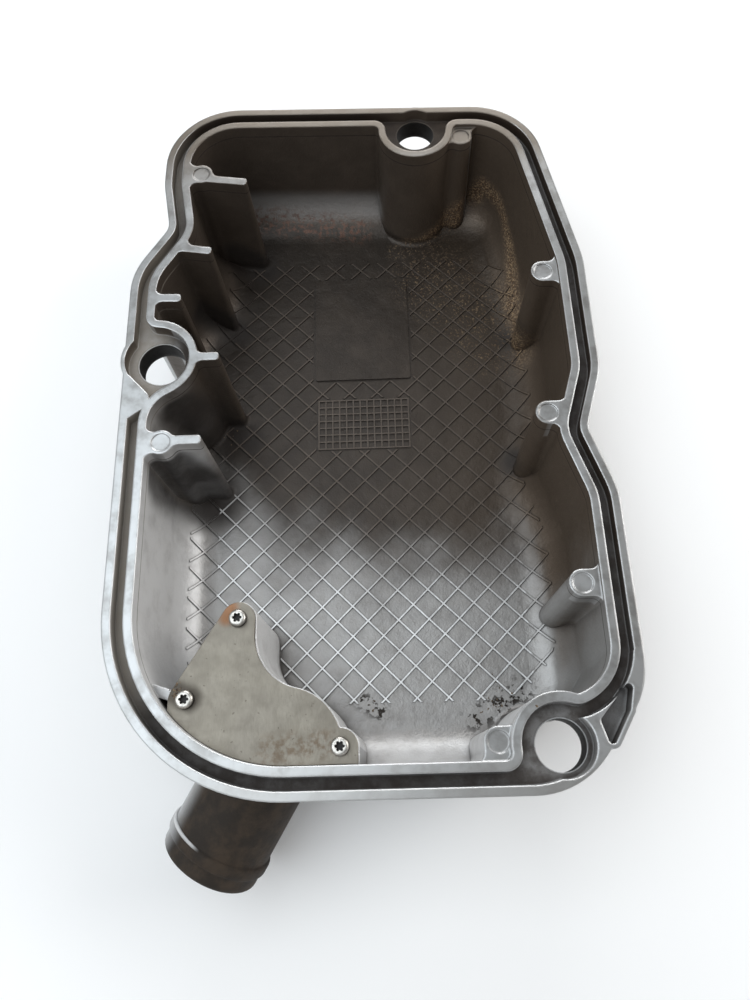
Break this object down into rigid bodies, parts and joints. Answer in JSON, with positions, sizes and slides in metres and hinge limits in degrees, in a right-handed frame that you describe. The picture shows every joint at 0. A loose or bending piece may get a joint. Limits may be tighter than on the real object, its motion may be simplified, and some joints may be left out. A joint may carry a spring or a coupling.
{
  "type": "breather valve cover",
  "caption": "Deep cast aluminium rocker cover with a double rim for a gasket, fixing-bolt holes, a breather chamber under a baffle plate and an angled hose pipe.",
  "frame": {"origin": "middle of the outline seen from above, hose pipe included, on the outer roof face that the cover lies on", "axes": "+Z up, out of the open side; +Y along the length, away from the hose pipe; +X to the right seen from the open side with +Y up"},
  "size_m": [0.1668, 0.2878, 0.054],
  "materials": {
    "casting": "die-cast skin, oil-stained",
    "plate": "dull rolled sheet with oil stains",
    "screw": "bright zinc plating"
  },
  "bodies": {
    "root": {"cover_casting": "casting", "baffle_plate": "plate", "baffle_screw_1": "screw", "baffle_screw_2": "screw", "baffle_screw_3": "screw"}
  },
  "joints": []
}
